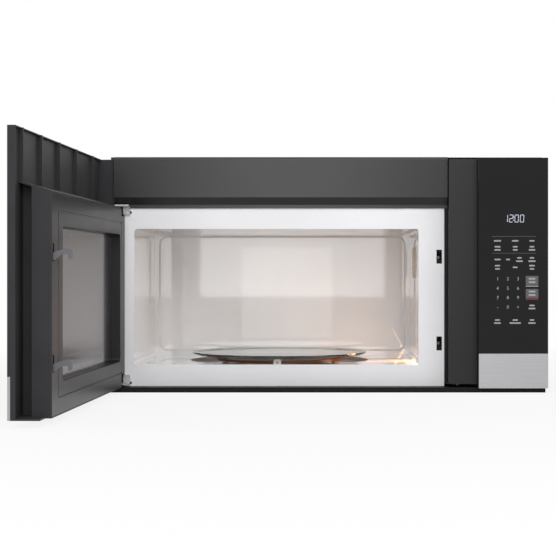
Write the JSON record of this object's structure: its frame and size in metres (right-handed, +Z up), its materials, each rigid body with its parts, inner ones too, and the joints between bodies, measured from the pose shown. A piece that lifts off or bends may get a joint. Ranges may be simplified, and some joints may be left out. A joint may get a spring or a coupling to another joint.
{
  "type": "over the range microwave oven",
  "caption": "Over the range microwave oven with a side hinged door held open, turntable, front vent panel, touch controls and a duct collar on top.",
  "frame": {"origin": "middle of the bottom edge of the face that lies on the wall", "axes": "+Z up, front of the oven towards -Y, +X to the right as seen from the front"},
  "size_m": [0.8078, 0.9772, 0.43],
  "materials": {
    "cabinet_paint": "satin black baked paint",
    "zinc_steel": "zinc plated sheet",
    "white_enamel": "smooth white enamel",
    "cavity_enamel": "light grey enamel",
    "stainless": "horizontally brushed stainless",
    "dark_glass": "black backed glass",
    "panel_plastic": "fine textured black",
    "door_plastic": "dark grey moulding",
    "cover_plastic": "dark grey semi gloss moulding",
    "vent_plastic": "dark grey gloss moulding",
    "choke_steel": "dark enamel",
    "window_film": "grey tinted window",
    "tray_glass": "clear pressed glass",
    "ring_plastic": "amber heat resistant plastic",
    "roller_plastic": "white plastic",
    "coupler_plastic": "heat resistant plastic",
    "mica": "mica sheet",
    "duct_aluminium": "mill finish",
    "core_steel": "varnished laminations",
    "circuit": "printed circuit",
    "sensor_film": "printed film",
    "display": "lit display",
    "black_moulding": "black moulding",
    "carbon": "charcoal in a frame",
    "filter_mesh": "expanded mesh",
    "frosted_glass": "frosted",
    "lamp_parts": "lamp and socket",
    "latch_plastic": "off white moulding",
    "hook_plastic": "dark grey acetal",
    "bush_plastic": "acetal bush",
    "spring_steel": "spring steel"
  },
  "bodies": {
    "cabinet": {"cabinet_wrapper": "cabinet_paint", "rear_panel": "zinc_steel", "base_panel": "cabinet_paint", "front_plate": "white_enamel", "cavity_liner": "cavity_enamel", "cavity_back": "cavity_enamel", "waveguide_cover": "mica", "waveguide": "duct_aluminium", "magnetron": "duct_aluminium", "hv_transformer": "core_steel", "hv_capacitor": "duct_aluminium", "noise_filter": "circuit", "fan_shroud": "black_moulding", "fan_motor": "core_steel", "blower_housing": "zinc_steel", "blower_motor": "core_steel", "exhaust_collar": "zinc_steel", "top_vent_panel": "vent_plastic", "charcoal_filter": "carbon", "grease_filter_left": "filter_mesh", "grease_filter_right": "filter_mesh", "lamp_lens_left": "frosted_glass", "lamp_lens_right": "frosted_glass", "cooktop_lamps": "lamp_parts", "cavity_lamp": "lamp_parts", "turntable_motor": "zinc_steel", "control_frame": "panel_plastic", "control_glass": "dark_glass", "control_trim": "stainless", "display_module": "display", "touch_sensor": "sensor_film", "control_board": "circuit", "latch_bracket": "latch_plastic", "door_switches": "latch_plastic", "hinge_upper": "zinc_steel", "hinge_lower": "zinc_steel", "cord_bushing": "black_moulding", "case_screws": "zinc_steel"},
    "door": {"door_frame": "door_plastic", "door_glass": "dark_glass", "door_trim": "stainless", "door_choke": "choke_steel", "door_screen": "choke_steel", "door_window": "window_film", "choke_cover": "cover_plastic", "hinge_bushes": "bush_plastic", "latch_spring": "spring_steel"},
    "latch": {"latch_slider": "hook_plastic"},
    "plunger_upper": {"switch_plunger_upper": "latch_plastic"},
    "plunger_lower": {"switch_plunger_lower": "latch_plastic"},
    "turntable": {"turntable_coupler": "coupler_plastic"},
    "tray": {"glass_tray": "tray_glass"},
    "ring": {"roller_ring": "ring_plastic"},
    "roller_front": {"roller_front": "roller_plastic"},
    "roller_right": {"roller_right": "roller_plastic"},
    "roller_left": {"roller_left": "roller_plastic"},
    "vent_wheels": {"blower_wheel_left": "black_moulding", "blower_wheel_right": "black_moulding"},
    "fan": {"fan_wheel": "black_moulding"},
    "damper": {"exhaust_damper": "zinc_steel"}
  },
  "joints": [
    {"name": "door_hinge", "type": "hinge", "parent": "cabinet", "child": "door", "pos_m": [-0.369, -0.366, 0.2], "axis": [0, 0, -1], "range_deg": [-92, 8]},
    {"name": "latch_slide", "type": "slide", "parent": "door", "child": "latch", "axis": [0, 0, 1], "range_m": [0, 0.006], "stiffness_N_per_m": 200, "springref_m": -0.01, "deforming": ["latch_spring"]},
    {"name": "plunger_upper_press", "type": "slide", "parent": "cabinet", "child": "plunger_upper", "axis": [0, 1, 0], "range_m": [0, 0.003], "stiffness_N_per_m": 300, "springref_m": -0.002},
    {"name": "plunger_lower_press", "type": "slide", "parent": "cabinet", "child": "plunger_lower", "axis": [0, 1, 0], "range_m": [0, 0.003], "stiffness_N_per_m": 300, "springref_m": -0.002},
    {"name": "turntable_spin", "type": "hinge", "parent": "cabinet", "child": "turntable", "pos_m": [-0.08965, -0.179, 0.05], "axis": [0, 0, 1], "continuous": true},
    {"name": "tray_lift", "type": "slide", "parent": "turntable", "child": "tray", "axis": [0, 0, 1], "range_m": [0, 0.06]},
    {"name": "ring_spin", "type": "hinge", "parent": "cabinet", "child": "ring", "pos_m": [-0.08965, -0.179, 0.0472], "axis": [0, 0, 1], "continuous": true},
    {"name": "roller_front_spin", "type": "hinge", "parent": "ring", "child": "roller_front", "pos_m": [-0.08965, -0.3, 0.0472], "axis": [0, -1, 0], "continuous": true},
    {"name": "roller_right_spin", "type": "hinge", "parent": "ring", "child": "roller_right", "pos_m": [0.01514, -0.1185, 0.0472], "axis": [0.866, 0.5, 0], "continuous": true},
    {"name": "roller_left_spin", "type": "hinge", "parent": "ring", "child": "roller_left", "pos_m": [-0.19444, -0.1185, 0.0472], "axis": [-0.866, 0.5, 0], "continuous": true},
    {"name": "vent_wheels_spin", "type": "hinge", "parent": "cabinet", "child": "vent_wheels", "pos_m": [0, -0.118, 0.3488], "axis": [1, 0, 0], "continuous": true},
    {"name": "fan_spin", "type": "hinge", "parent": "cabinet", "child": "fan", "pos_m": [0.305, -0.05, 0.175], "axis": [0, 1, 0], "continuous": true},
    {"name": "damper_flap", "type": "hinge", "parent": "cabinet", "child": "damper", "pos_m": [0, -0.017, 0.418], "axis": [-1, 0, 0], "range_deg": [0, 80]}
  ],
  "couplings": [
    {"joint": "ring_spin", "follows": "turntable_spin", "ratio": 0.5},
    {"joint": "roller_front_spin", "follows": "turntable_spin", "ratio": -8.6429},
    {"joint": "roller_right_spin", "follows": "turntable_spin", "ratio": -8.6429},
    {"joint": "roller_left_spin", "follows": "turntable_spin", "ratio": -8.6429}
  ]
}
